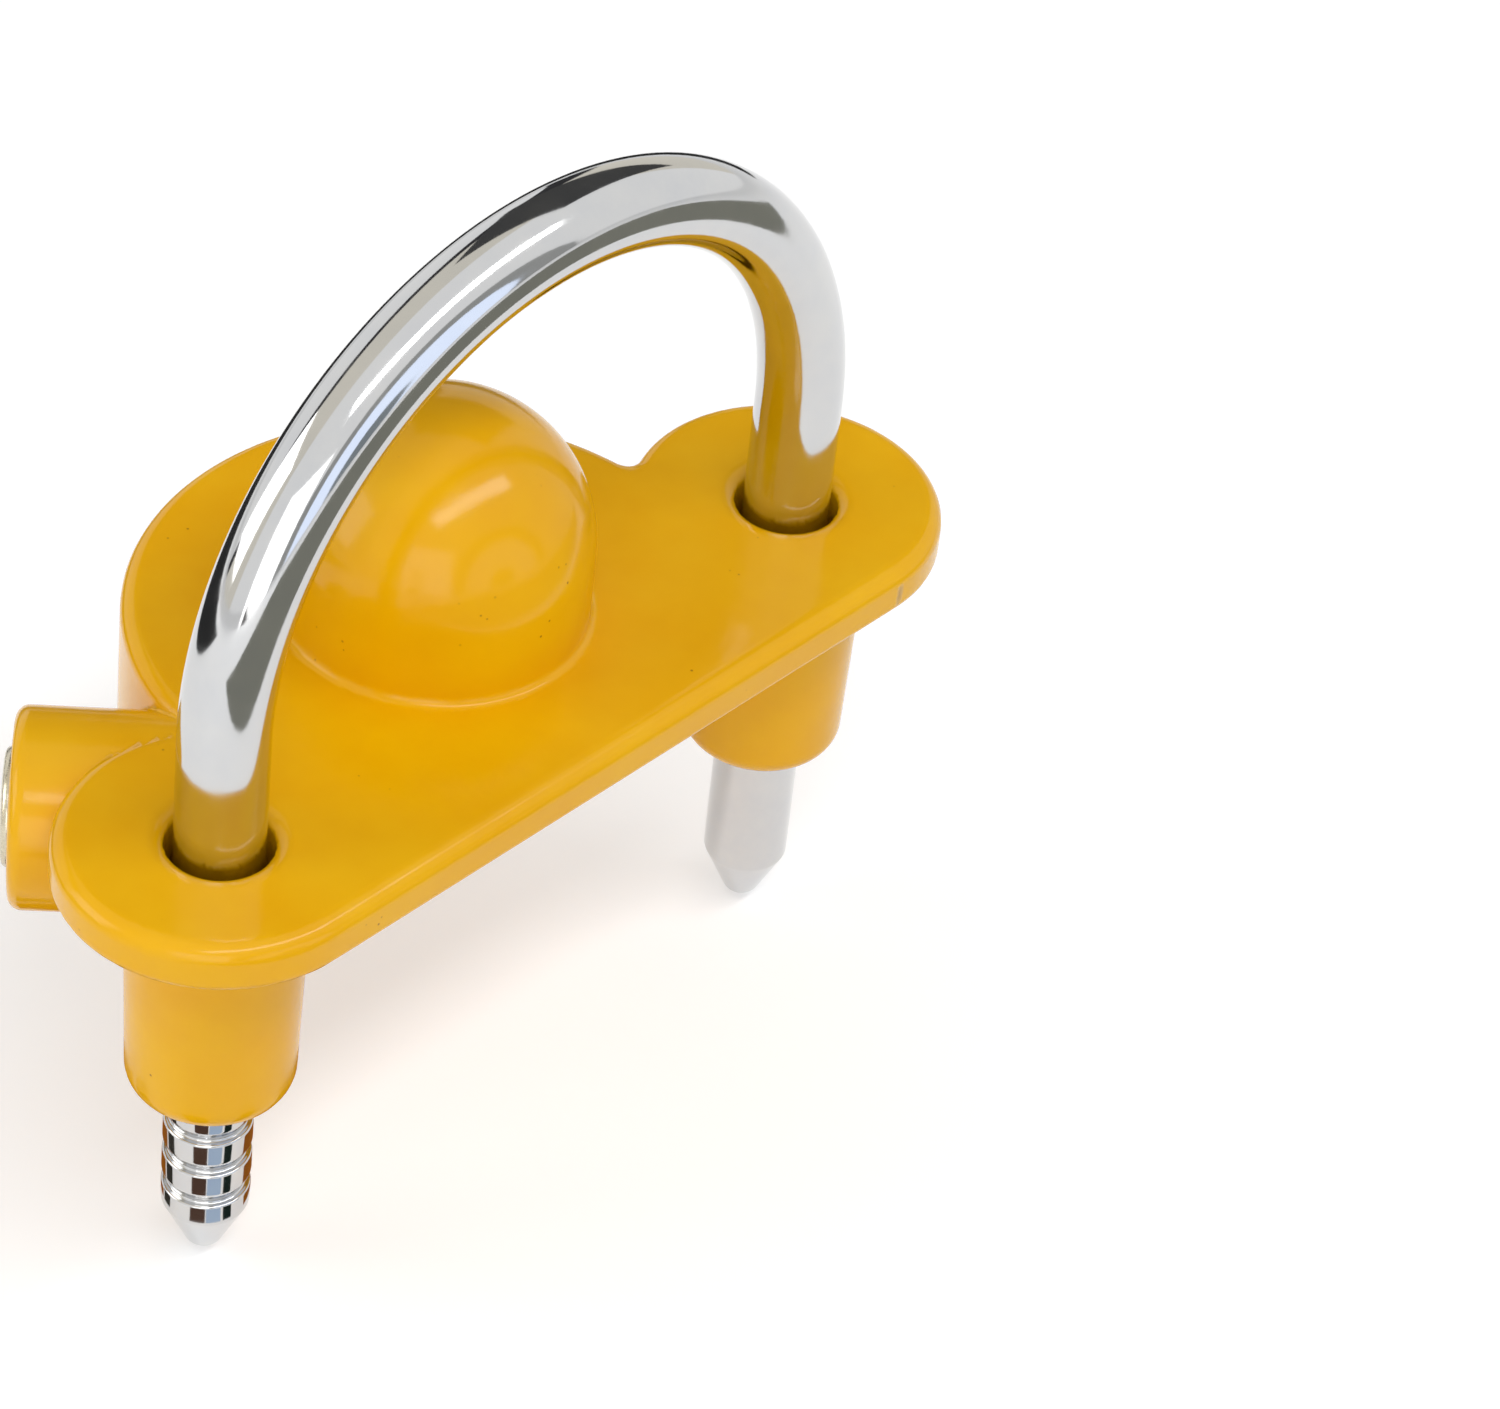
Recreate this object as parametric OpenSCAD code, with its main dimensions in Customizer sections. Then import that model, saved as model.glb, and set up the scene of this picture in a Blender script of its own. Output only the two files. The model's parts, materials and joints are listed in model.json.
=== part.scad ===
// Trailer coupler lock: cast body with a coupler stub, a steel shackle with ratchet
// grooves, and a key cylinder that works a spring-loaded locking bolt.
// Units are millimetres. +Z up, +X to the lock side, -Y to the coupler nose.
// The origin is on the stub axis, at the top face of the plate.

/* [Shackle] */
// Diameter of the shackle bar
bar_d = 12.7; // [10:0.1:16]
// Distance between the two leg axes
leg_span = 111.6; // [95:0.2:134]
// Distance of the legs behind the stub axis
leg_back = 16; // [8:0.5:24]
// Height of the straight legs above the plate
leg_rise = 17.5; // [10:0.5:30]
// Length of the legs below the plate top
leg_drop = 77.6; // [66:0.1:95]
// Number of ratchet grooves on the lock-side leg
groove_count = 9; // [3:1:9]
// Pitch of the ratchet grooves
groove_pitch = 6.1; // [5:0.25:7]
// Depth of a ratchet groove
groove_depth = 0.9; // [0.7:0.1:1.8]
// Radius of the rounded leg tip
tip_round = 3.2; // [1.2:0.2:3.6]
// Length of the tapered leg tip
tip_len = 9.4; // [7:0.2:13]

/* [Body] */
// Thickness of the plate
plate_t = 7.5; // [6:0.5:12]
// Radius of the two ears
ear_r = 22.8; // [19:0.2:28]
// Radius of the round middle of the body
drum_r = 44; // [40:0.5:50]
// Depth of the round middle below the plate top
drum_h = 29; // [27:0.5:38]
// Wall of the hollow under the body
wall_t = 7; // [4:0.5:9]
// Rounding of the upper edges
edge_r = 2.5; // [1:0.25:3]
// Rounding of the lower edges
edge_low_r = 1.2; // [0.4:0.2:2.4]
// Radius of a leg boss where it leaves the plate
boss_top_r = 12.8; // [11:0.2:16]
// Radius of a leg boss at its lower end
boss_low_r = 11.9; // [10:0.1:15]
// Depth of a leg boss below the plate top
boss_h = 45; // [34:1:52]
// Rounding of the lower end of a boss
boss_edge_r = 3.6; // [1:0.2:4]
// Rounding of the mouth of a leg bore
mouth_r = 3.4; // [1:0.1:4]

/* [Coupler stub] */
// Radius of the stub
stub_r = 22; // [18:0.5:25]
// Height of the straight part of the stub
stub_h = 12; // [8:0.5:18]

/* [Lock housing] */
// Radius of the housing of the key cylinder
house_r = 14.2; // [12.5:0.25:17]
// Depth of the cylinder axis below the plate top
house_z = 14.5; // [13:0.25:18]
// Angle of the cylinder axis from the row X axis
house_angle = 45; // [30:1:60]
// Distance from the leg axis to the cylinder axis
key_off = 20; // [17:0.5:26]
// Distance from the bolt axis to the housing end face
face_off = 28.9; // [27:0.1:38]
// Rounding of the housing end
house_edge_r = 2; // [1:0.25:3]

/* [Key cylinder] */
// Wall of the cylinder barrel round the key plug
barrel_wall = 3.4; // [2.8:0.1:4.5]
// Overhang of the bezel past the barrel
bezel_lip = 0.6; // [0.4:0.1:1.5]
// Height of the bezel above the housing end face
bezel_out = 1.2; // [0.4:0.2:2.4]
// Depth of the bezel seat in the housing
bezel_seat = 1; // [0.6:0.1:1.8]
// Radius of the key plug
plug_r = 4.4; // [4:0.1:5.4]
// Overhang of the plug head past the plug
head_lip = 1; // [0.6:0.1:1.6]
// Distance from the bolt axis to the back of the barrel
barrel_back = 11; // [10:0.25:13]
// Width of the keyway
keyway_w = 1.5; // [1.2:0.1:2.2]
// Radius of the pins
pin_r = 1; // [0.8:0.05:1.3]
// Pitch of the pins along the plug
pin_pitch = 2.7; // [2.4:0.1:3.4]
// Length of a driver pin
driver_l = 1.4; // [1:0.1:2]

/* [Bolt] */
// Radius of the locking bolt
bolt_r = 4; // [3.25:0.25:5]
// Travel of the locking bolt
bolt_travel = 1.5; // [0.9:0.1:2]
// Distance the bolt reaches past the cylinder axis
bolt_tail = 7; // [5:0.5:9]
// Length of the compressed bolt spring
spring_l = 10; // [8:0.5:14]
// Length of the plug that closes the bolt bore
stop_l = 7; // [5:0.5:9]
// Radius of that plug
stop_r = 5.5; // [5:0.25:7]
// Radius of the pin on the cam
cam_pin_r = 1.25; // [1:0.05:1.6]

/* [Clearances] */
// Radial running clearance of the shackle legs
leg_clear = 0.08; // [0.02:0.01:0.1]
// Radial running clearance of small moving pieces
run_clear = 0.05; // [0.02:0.01:0.1]
// Radial gap around pieces that stay put
seat_gap = 0.03; // [0.01:0.01:0.06]
// Gap between the cam pin and its slot
slot_gap = 0.15; // [0.1:0.01:0.3]

/* [Hidden] */
$fn = 64;
eps = 0.01;
bar_r = bar_d / 2;
leg_x = leg_span / 2;
rear_y = leg_back + ear_r;
// the round middle below the plate stops this far in front of the leg row
drum_stop = 3;
drum_back = leg_back - drum_stop;
roof_extra = 1;
// walls round the bolt bore: in the web, and in the block inside the hollow
web_wall = 4;
block_wall = 4.5;
// height of the groove shoulder that the bolt meets, above the bolt axis
shoulder_low = 1.4;
groove_root = 0.9;
groove_cone = 1.3;
cone_top = -leg_drop + tip_len;
// bolt nose: nominal gap to the groove root, and the length of the nose
nose_gap = 0.18;
nose_l = 2;
nose_half = 2.4;
nose_drop = 0.25;
// small chamfer under each groove shoulder
groove_break = 0.35;
bolt_tip = key_off - bar_r + groove_depth - nose_gap - bolt_travel;
bolt_bore_end = bolt_tail + spring_l;
// springs: wire radius, turns, and the pocket for the end of the bolt spring
pin_wire_r = 0.14;
pin_turns = 3;
bolt_wire_r = 0.45;
bolt_turns = 6;
spring_seat = 1;
// hexagon socket of the plug that closes the bolt bore
hex_r = 2.9;
hex_l = 3;
cam_e = bolt_travel / 2 / sin(45);
cam_disc_r = 6.4;
cam_gap = 0.5;
cam_disc_t = 2.6;
// room for the clip between the cam and the barrel
clip_room = 2.1;
cam_front = barrel_back - clip_room - cam_disc_t;
// the cam pin and its slot start here along the key axis
cam_pin_x = 0.8;
cam_slot_x = 0.4;
plug_end = cam_front + cam_disc_t;
barrel_r = plug_r + barrel_wall;
bezel_r = barrel_r + bezel_lip;
plug_head_r = plug_r + head_lip;
bezel_x = face_off + bezel_out;
bezel_round = 1;
plug_face = bezel_x - 0.4;
head_x = face_off - 0.3;
// square tail of the plug that turns the cam
tail_half = 2.1;
tail_l = 2;
// keyway: depth below the axis, height, and the side ward
way_low = 3.4;
way_h = 5.2;
ward_low = 2.2;
ward_h = 1.4;
ward_w = 1.1;
ward_side = 0.6;
// hardened pins across the plug head
guard_x = face_off - 1.6;
guard_y = 2.4;
guard_r = 0.7;
guard_l = 2 * (plug_head_r - guard_y);
// clip ring in its groove behind the barrel
clip_t = 0.7;
clip_slot = 0.8;
clip_root = plug_r - 0.9;
clip_r = plug_r + 1.2;
clip_mouth = 3.8;
// blunt point of a key pin
point_l = 0.6;
point_r = 0.5;
shear_r = plug_r + run_clear;
pin_top = sqrt(plug_r * plug_r - pin_r * pin_r) - 0.01;
driver_z = shear_r + 0.02;
cover_z = barrel_r - 0.75;
cover_t = 0.5;
cover_w = 2.4;
cover_over = 1.6;
pin_drop = [3.4, 2.9, 3.2, 2.7, 3.1];
pins_span = 4 * pin_pitch;
seal_x = face_off - 2.5;
seal_r = 0.6;
seal_gap = 0.1;
// the first pin stands behind the seal with this wall between them
pin_wall = 1.3;
first_pin = seal_x - seal_r - pin_r - pin_wall;
keep_x = 17;
keep_r = 1.25;
keep_y = barrel_r;
keep_top = 3.6;
keep_over = 0.4;
keep_inset = 0.8;

// frame of the lock: X along the key axis outwards, Y along the bolt to the leg
module lock_frame() {
  translate([leg_x, leg_back, -house_z]) rotate([0, 0, -house_angle])
    translate([0, -key_off, 0]) children();
}
// turn a vertical shape to lie along the key axis, its base at x
module along_key(x) {
  translate([x, 0, 0]) rotate([0, 90, 0]) children();
}
// turn a vertical shape to lie along the bolt axis, its base at y
module along_bolt(y) {
  translate([0, y, 0]) rotate([-90, 0, 0]) children();
}
module rod(r, h) { cylinder(r = r, h = h); }

// half section of a disc with its upper and lower outer edges rounded
module disc_section(r, top, low, r_top, r_low) {
  square_h = top - low;
  difference() {
    translate([0, low]) square([r, square_h]);
    translate([r - r_top, top - r_top]) square([r_top + 1, r_top + 1]);
    translate([r - r_low, low - 1]) square([r_low + 1, r_low + 1]);
  }
  translate([r - r_top, top - r_top]) intersection() {
    circle(r_top);
    square(r_top);
  }
  translate([r - r_low, low + r_low]) intersection() {
    circle(r_low);
    translate([0, -r_low]) square(r_low);
  }
}
module round_disc(r, top, low, r_top, r_low) {
  rotate_extrude($fn = 96) disc_section(r, top, low, r_top, r_low);
}

// ---- cast body --------------------------------------------------------------------
module ear(side) {
  translate([side * leg_x, leg_back, 0]) {
    round_disc(ear_r, 0, -plate_t, edge_r, edge_low_r);
    translate([0, 0, -boss_h + boss_edge_r])
      cylinder(r1 = boss_low_r, r2 = boss_top_r, h = boss_h - boss_edge_r - plate_t + 1);
    round_disc(boss_low_r, -boss_h + boss_edge_r + eps, -boss_h, eps, boss_edge_r);
  }
}
module leg_bore(side) {
  bore_r = bar_r + leg_clear;
  translate([side * leg_x, leg_back, 0]) {
    translate([0, 0, -boss_h - 1]) rod(bore_r, boss_h + 2);
    rotate_extrude($fn = 96) difference() {
      translate([bore_r - 0.5, -mouth_r]) square([mouth_r + 0.5, mouth_r + 1]);
      translate([bore_r + mouth_r, -mouth_r]) circle(mouth_r);
    }
  }
}
module rear_beam() {
  rotate([90, 0, 90]) linear_extrude(leg_span, center = true) {
    translate([0, -plate_t]) square([rear_y - edge_r, plate_t]);
    translate([0, -plate_t + edge_low_r]) square([rear_y, plate_t - edge_r - edge_low_r]);
    translate([rear_y - edge_r, -edge_r]) circle(edge_r);
    translate([rear_y - edge_low_r, -plate_t + edge_low_r]) circle(edge_low_r);
  }
}
module drum() {
  difference() {
    round_disc(drum_r, 0, -drum_h, edge_r, edge_low_r);
    // the plate ends in a straight edge, and the lower half stops short of it
    translate([-drum_r - 1, rear_y - edge_r - eps, -drum_h])
      cube([2 * drum_r + 2, drum_r, drum_h + 1]);
    translate([-drum_r - 1, drum_back, -drum_h - 1])
      cube([2 * drum_r + 2, drum_r * 2, drum_h + 1 - plate_t]);
  }
}
module pocket() {
  difference() {
    intersection() {
      translate([0, 0, -drum_h - 1]) rod(drum_r - wall_t, drum_h + 1 - plate_t - roof_extra);
      translate([-drum_r, -drum_r, -drum_h - 2])
        cube([2 * drum_r, drum_r + drum_back - wall_t, drum_h + 2]);
    }
    // the block that carries the bolt bore and the cylinder stays solid
    lock_frame() translate([-bolt_r - block_wall, -bolt_bore_end - stop_l, -drum_h])
      cube([drum_r * 2, drum_r * 3, drum_h * 2]);
  }
}
module stub() {
  translate([0, 0, -1]) rod(stub_r, stub_h + 1);
  translate([0, 0, stub_h]) rotate_extrude($fn = 96) intersection() {
    circle(stub_r);
    square(stub_r);
  }
}
module housing() {
  lock_frame() along_key(0) round_disc(house_r, face_off, 0, house_edge_r, eps);
}
module bolt_web() {
  lock_frame() translate([-bolt_r - web_wall, 0, -bolt_r - web_wall])
    cube([2 * (bolt_r + web_wall), key_off, house_z - plate_t + bolt_r + web_wall + 1]);
}
module lock_body() {
  color("#e0a010") difference() {
    union() {
      ear(1);
      ear(-1);
      rear_beam();
      drum();
      stub();
      housing();
      bolt_web();
    }
    pocket();
    leg_bore(1);
    leg_bore(-1);
    lock_frame() {
      along_key(barrel_back) rod(barrel_r + seat_gap, face_off);
      along_key(face_off - bezel_seat) rod(bezel_r + seat_gap, bezel_seat + 1);
      along_key(0) rod(cam_disc_r + cam_gap, barrel_back + 1);
      along_bolt(-bolt_bore_end) rod(bolt_r + run_clear, key_off + bolt_bore_end);
      along_bolt(-bolt_bore_end - stop_l - 1) rod(stop_r + seat_gap, stop_l + 1);
      translate([keep_x, -keep_y, -house_r - 1])
        rod(keep_r + seat_gap, house_r + 1 + keep_top + keep_over);
    }
  }
}

// ---- shackle ----------------------------------------------------------------------
// half section of a tapered leg tip with a rounded end, from the axis outwards
module tip_section() {
  slope = (bar_r - tip_round * 0.9) / (tip_len - tip_round * 0.6);
  polygon([[0, cone_top + 1], [bar_r, cone_top + 1], [bar_r, cone_top],
           [bar_r - slope * (tip_len - tip_round * 0.6), -leg_drop + tip_round * 0.6],
           [tip_round * 0.76, -leg_drop + tip_round * 0.34],
           [tip_round * 0.5, -leg_drop + tip_round * 0.13],
           [tip_round * 0.25, -leg_drop + tip_round * 0.03], [0, -leg_drop]]);
}
// one groove: a cone that narrows downwards, a short root, and a square shoulder
module groove_cut(k) {
  z = -house_z - shoulder_low - k * groove_pitch;
  root_r = bar_r - groove_depth;
  polygon([[root_r, z], [root_r, z + groove_root],
           [bar_r, z + groove_root + groove_cone],
           [bar_r + 1, z + groove_root + groove_cone], [bar_r + 1, z - groove_break],
           [bar_r, z - groove_break], [bar_r - groove_break, z]]);
}
module shackle() {
  color("#d8dade") translate([0, leg_back, 0]) {
    translate([0, 0, leg_rise]) rotate([90, 0, 0])
      rotate_extrude(angle = 180, $fn = 96) translate([leg_x, 0]) circle(bar_r, $fn = 48);
    for (side = [-1, 1]) translate([side * leg_x, 0, 0]) {
      if (side < 0) translate([0, 0, cone_top]) rod(bar_r, leg_rise - cone_top);
      rotate_extrude($fn = 64) tip_section();
    }
    translate([leg_x, 0, 0]) rotate_extrude($fn = 64) difference() {
      translate([0, cone_top]) square([bar_r, leg_rise - cone_top]);
      for (k = [0 : groove_count - 1]) groove_cut(k);
    }
  }
}

// ---- key cylinder -----------------------------------------------------------------
module cylinder_barrel() {
  color("#c9ccd0") lock_frame() difference() {
    union() {
      along_key(barrel_back) rod(barrel_r, face_off - barrel_back);
      along_key(face_off - bezel_seat)
        round_disc(bezel_r, bezel_seat + bezel_out, 0, bezel_round, eps);
    }
    along_key(barrel_back - 1) rod(shear_r, face_off);
    along_key(head_x) rod(plug_head_r + run_clear, 5);
    for (i = [0 : 4]) translate([first_pin - i * pin_pitch, 0, 0])
      rod(pin_r + run_clear, barrel_r + 1);
    translate([first_pin - pins_span - cover_over, -cover_w / 2, cover_z])
      cube([pins_span + 2 * cover_over, cover_w, 2]);
    along_key(seal_x - seal_r - seal_gap) difference() {
      rod(barrel_r + 1, 2 * (seal_r + seal_gap));
      translate([0, 0, -1]) rod(barrel_r - 2 * seal_r - run_clear, 2 * (seal_r + seal_gap) + 2);
    }
    translate([keep_x, -keep_y, -house_r - 1])
      rod(keep_r + seat_gap, house_r + 2 + keep_top + keep_over);
  }
}
// everything that turns is drawn with the pins up, then laid over to the open position
module open_turn() {
  lock_frame() rotate([-90, 0, 0]) children();
}
module key_plug() {
  color("#b9a25a") open_turn() difference() {
    union() {
      along_key(plug_end) rod(plug_r, plug_face - plug_end);
      along_key(head_x + run_clear) rod(plug_head_r, plug_face - head_x - run_clear);
      translate([plug_end - tail_l, -tail_half, -tail_half])
        cube([tail_l + 0.5, 2 * tail_half, 2 * tail_half]);
    }
    for (i = [0 : 4]) translate([first_pin - i * pin_pitch, 0, 0])
      rod(pin_r + run_clear, plug_r + 1);
    translate([barrel_back + 1, -keyway_w / 2, -way_low]) cube([face_off, keyway_w, way_h]);
    translate([barrel_back + 1, -keyway_w / 2 - ward_side, -ward_low])
      cube([face_off, ward_w, ward_h]);
    for (y = [-guard_y, guard_y]) translate([guard_x, y, -plug_head_r])
      rod(guard_r + seat_gap, 2 * plug_head_r);
    along_key(plug_end + 1) difference() {
      rod(plug_r + 1, clip_slot);
      translate([0, 0, -1]) rod(clip_root, 3);
    }
  }
}
module anti_drill_pins() {
  color("#6f7378") open_turn() for (y = [-guard_y, guard_y])
    translate([guard_x, y, -guard_l / 2]) rod(guard_r, guard_l);
}
// key pin i: a rod with a blunt point that rides on the key
module key_pin(i) {
  l = pin_drop[i];
  color("#c8a03c") open_turn() translate([first_pin - i * pin_pitch, 0, pin_top - l]) {
    translate([0, 0, point_l]) rod(pin_r, l - point_l);
    cylinder(r1 = pin_r - point_r, r2 = pin_r, h = point_l);
  }
}
module driver_pins() {
  color("#aeb4ba") lock_frame() for (i = [0 : 4])
    translate([first_pin - i * pin_pitch, 0, driver_z]) rod(pin_r, driver_l);
}
// a coil of round wire standing on Z, its wire centre on radius r
module coil(r, wire, h, turns) {
  linear_extrude(h, twist = -360 * turns, slices = turns * 12, $fn = 6)
    translate([r, 0]) scale([1, 1.7]) circle(wire);
}
module pin_springs() {
  spring_z = driver_z + driver_l;
  color("#c8b070") lock_frame() for (i = [0 : 4])
    translate([first_pin - i * pin_pitch, 0, spring_z])
      coil(pin_r - 0.3, pin_wire_r, cover_z - spring_z, pin_turns);
}
module chamber_cover() {
  color("#c8a03c") lock_frame()
    translate([first_pin - pins_span - cover_over + seat_gap, -cover_w / 2 + seat_gap, cover_z])
      cube([pins_span + 2 * (cover_over - seat_gap), cover_w - 2 * seat_gap, cover_t]);
}
module cylinder_seal() {
  color("#202022") lock_frame() along_key(seal_x)
    rotate_extrude() translate([barrel_r - seal_r - 0.02, 0]) circle(seal_r - 0.02, $fn = 24);
}
module plug_clip() {
  color("#8d9298") open_turn() along_key(plug_end + 1 + (clip_slot - clip_t) / 2)
    difference() {
    rod(clip_r, clip_t);
    translate([0, 0, -1]) rod(clip_root + 0.02, 3);
    translate([0, -clip_mouth / 2, -1]) cube([clip_r + 1, clip_mouth, 3]);
  }
}
module cam() {
  color("#8d9298") {
    open_turn() difference() {
      along_key(cam_front) rod(cam_disc_r, cam_disc_t);
      translate([plug_end - tail_l, -tail_half - seat_gap, -tail_half - seat_gap])
        cube([tail_l + 1, 2 * (tail_half + seat_gap), 2 * (tail_half + seat_gap)]);
    }
    // the eccentric pin, drawn in the open position of the key
    lock_frame() rotate([-135, 0, 0]) translate([cam_pin_x, cam_e, 0]) along_key(0)
      rod(cam_pin_r, cam_front - cam_pin_x + eps);
  }
}

// ---- bolt -------------------------------------------------------------------------
module locking_bolt() {
  slope = groove_cone / groove_depth;
  low = -shoulder_low + nose_drop;
  high = -shoulder_low + groove_root - run_clear;
  color("#9aa0a6") lock_frame() difference() {
    union() {
      along_bolt(-bolt_tail) rod(bolt_r, bolt_tip - nose_l + bolt_tail);
      rotate([90, 0, 90]) linear_extrude(2 * nose_half, center = true)
        polygon([[bolt_tip - nose_l - 1, low], [bolt_tip, low], [bolt_tip, high],
                 [bolt_tip - nose_l, high + nose_l * slope],
                 [bolt_tip - nose_l - 1, high + nose_l * slope]]);
    }
    // slot worked by the cam pin
    translate([cam_slot_x, -bolt_travel / 2 - cam_pin_r - slot_gap,
               -cam_e - cam_pin_r - 2 * slot_gap])
      cube([bolt_r + 1, 2 * (cam_pin_r + slot_gap), 2 * cam_pin_r + 6 * slot_gap]);
    // pocket for the end of the spring
    along_bolt(-bolt_tail - eps) rod(bolt_r - 1, spring_seat);
  }
}
module bolt_spring() {
  color("#b0b5ba") lock_frame() along_bolt(-bolt_bore_end)
    coil(bolt_r - 1.6, bolt_wire_r, spring_l + spring_seat - run_clear, bolt_turns);
}
module spring_plug() {
  color("#7c8086") lock_frame() difference() {
    along_bolt(-bolt_bore_end - stop_l) rod(stop_r, stop_l);
    along_bolt(-bolt_bore_end - stop_l - 1) cylinder(r = hex_r, h = hex_l + 1, $fn = 6);
  }
}
module retaining_pin() {
  drop = sqrt(house_r * house_r - keep_y * keep_y);
  color("#7c8086") lock_frame() translate([keep_x, -keep_y, keep_inset - drop])
    rod(keep_r, drop - keep_inset + keep_top);
}

lock_body();
shackle();
cylinder_barrel();
key_plug();
anti_drill_pins();
key_pin(0);  // key_pin_1
key_pin(1);  // key_pin_2
key_pin(2);  // key_pin_3
key_pin(3);  // key_pin_4
key_pin(4);  // key_pin_5
driver_pins();
pin_springs();
chamber_cover();
cylinder_seal();
plug_clip();
cam();
locking_bolt();
bolt_spring();
spring_plug();
retaining_pin();
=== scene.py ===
# %% [markdown]
# # A trailer coupler lock
# A cast body with a stub that fills the coupler, a chrome shackle that goes over it, and a
# key cylinder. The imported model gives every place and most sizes. The three pieces that show
# get surfaces of their own here, worked out with numpy. The small pieces inside keep their
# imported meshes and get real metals.

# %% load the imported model
import json
import math

import bmesh
import bpy
import numpy as np
from mathutils import Matrix, Vector


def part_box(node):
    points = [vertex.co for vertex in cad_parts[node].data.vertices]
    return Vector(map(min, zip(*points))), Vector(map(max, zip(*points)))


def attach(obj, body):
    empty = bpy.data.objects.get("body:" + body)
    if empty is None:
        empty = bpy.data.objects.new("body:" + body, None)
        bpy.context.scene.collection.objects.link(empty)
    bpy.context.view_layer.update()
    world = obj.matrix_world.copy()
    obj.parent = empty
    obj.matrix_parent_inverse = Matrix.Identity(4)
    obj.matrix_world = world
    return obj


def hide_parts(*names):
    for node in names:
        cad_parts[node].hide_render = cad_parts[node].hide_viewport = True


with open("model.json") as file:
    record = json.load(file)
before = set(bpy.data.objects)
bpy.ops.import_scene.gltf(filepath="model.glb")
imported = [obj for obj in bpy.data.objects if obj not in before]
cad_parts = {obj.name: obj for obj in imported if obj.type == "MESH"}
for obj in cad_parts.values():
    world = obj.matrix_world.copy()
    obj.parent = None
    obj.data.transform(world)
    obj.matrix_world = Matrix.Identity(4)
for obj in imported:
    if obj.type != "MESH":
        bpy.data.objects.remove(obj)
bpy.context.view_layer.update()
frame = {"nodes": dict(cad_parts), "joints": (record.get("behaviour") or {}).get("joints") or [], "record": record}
MM = 0.001

# %% [markdown]
# ## Driving sizes
# On the bench these sizes would be taken with a caliper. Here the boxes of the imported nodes
# give the bar, the legs, the ears and the drum, and the key's joint gives the axis of the
# cylinder. They could be typed in, but read from the boxes they can't drift from the packed
# model. All sizes below are in millimetres, and what a box can't give, such as a wall or a
# fillet, is named in the step that needs it.

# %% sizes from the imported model
def node_box(node):
    """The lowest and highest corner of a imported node, in millimetres."""
    low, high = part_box(node)
    return np.array(low) / MM, np.array(high) / MM


body_lo, body_hi = node_box("lock_body")
bow_lo, bow_hi = node_box("shackle")
BAR_R = (bow_hi[1] - bow_lo[1]) / 2
LEG_X = bow_hi[0] - BAR_R
LEG_Y = (bow_hi[1] + bow_lo[1]) / 2
ARCH_Z = bow_hi[2] - BAR_R - LEG_X
TIP_Z = bow_lo[2]
EAR_R = body_hi[0] - LEG_X
REAR_Y = body_hi[1]
DRUM_R = -body_lo[1]
BOSS_H = -body_lo[2]
stub_mount = next(m for m in frame["record"]["mounts"] if m["name"] == "coupler_stub")
STUB_R = stub_mount["dims"]["r_mm"]
STUB_H = body_hi[2] - STUB_R
key_joint = next(j for j in frame["joints"] if j["name"] == "key_turn")
KEY_FOOT = np.array(key_joint["pos_m"]) / MM
KEY_DIR = np.array(key_joint["axis"])
BOLT_DIR = np.array([-KEY_DIR[1], KEY_DIR[0], 0.0])
KEY_OFF = float((np.array([LEG_X, LEG_Y, 0]) - KEY_FOOT) @ BOLT_DIR)
print(f"bar {2 * BAR_R:.1f}, legs {2 * LEG_X:.1f} apart, ear {EAR_R:.1f}, drum {DRUM_R:.1f}")
print(f"stub {2 * STUB_R:.1f} across, key axis {KEY_OFF:.1f} in front of the leg")

# %% [markdown]
# ## Helpers
# Blender works in linear light, so colours written as sRGB hex are turned to linear once.
# Nodes could be added and wired line by line, but one function that adds a node with its
# settings and links lets each material below read from top to bottom, like a recipe.

# %% shader helpers
def linear(hex_colour):
    """sRGB hex to linear: below 0.04045 divide by 12.92, above it ((c + 0.055) / 1.055)^2.4."""
    c = np.array([int(hex_colour[i:i + 2], 16) for i in (1, 3, 5)]) / 255
    lin = np.where(c <= 0.04045, c / 12.92, ((c + 0.055) / 1.055) ** 2.4)
    return (*lin.tolist(), 1.0)


def grey(v):
    """A grey of linear value v."""
    return (v, v, v, 1.0)


def per(size_mm):
    """The scale of a pattern that repeats once in a size in millimetres: one over metres."""
    return 1 / (size_mm * MM)


def add(tree, kind, settings=None, **inputs):
    """Adds a node, sets its properties, and sets or links its inputs.

    An input is given by its name with _ for a space, or by _ and its number.
    """
    node = tree.nodes.new(kind)
    for name, value in (settings or {}).items():
        setattr(node, name, value)
    for key, value in inputs.items():
        socket = node.inputs[int(key[1:]) if key[0] == "_" else key.replace("_", " ")]
        if isinstance(value, bpy.types.NodeSocket):
            tree.links.new(value, socket)
        else:
            socket.default_value = value
    return node


def new_material(name):
    """A material with nothing but its Principled shader, linked to the output."""
    mat = bpy.data.materials.new(name)
    mat.use_nodes = True
    tree = mat.node_tree
    tree.nodes.clear()
    shader = add(tree, "ShaderNodeBsdfPrincipled")
    add(tree, "ShaderNodeOutputMaterial", Surface=shader.outputs[0])
    return mat, tree, shader


NOISE, SPREAD, MIX = "ShaderNodeTexNoise", "ShaderNodeMapRange", "ShaderNodeMix"
COLOUR = {"data_type": "RGBA"}
print("a pattern of 2 mm has scale", per(2), "and middle grey is", round(linear("#808080")[0], 3))

# %% [markdown]
# The next helpers turn arrays of points into mesh objects. A surface is a grid of points with
# quads between them. No real edge is sharp. A Bevel modifier could break the edges afterwards,
# but a turned piece is one profile, so its corners are broken there: `soften` replaces each by
# a quadratic curve that leaves and meets the two sides.

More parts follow.
